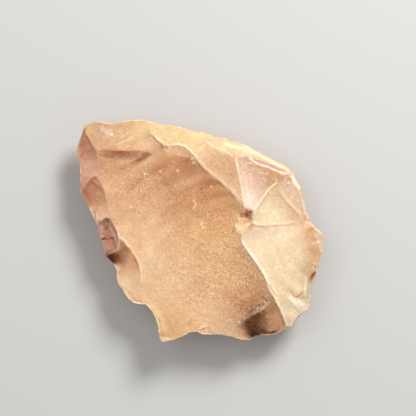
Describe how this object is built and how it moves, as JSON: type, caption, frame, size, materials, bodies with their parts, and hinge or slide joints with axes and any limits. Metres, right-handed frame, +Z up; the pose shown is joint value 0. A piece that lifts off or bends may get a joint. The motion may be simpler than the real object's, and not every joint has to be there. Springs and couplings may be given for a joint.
{
  "type": "stone hand axe",
  "caption": "Knapped flint hand axe: a broad pointed blade with a sharp chipped edge all round, a wide hollow flake scar on its face and a flat scar underneath that it lies on.",
  "frame": {"origin": "centre of the bounding box in plan, at the resting scar's plane", "axes": "+X from the tip's side towards the butt, +Y towards the long upper edge, +Z up out of the worked face"},
  "size_m": [0.0888, 0.0802, 0.0245],
  "materials": {
    "flint": "worn flint, honey and pinkish buff, satin on the scars and lighter on the ridges"
  },
  "bodies": {
    "root": {"hand_axe": "flint"}
  },
  "joints": []
}
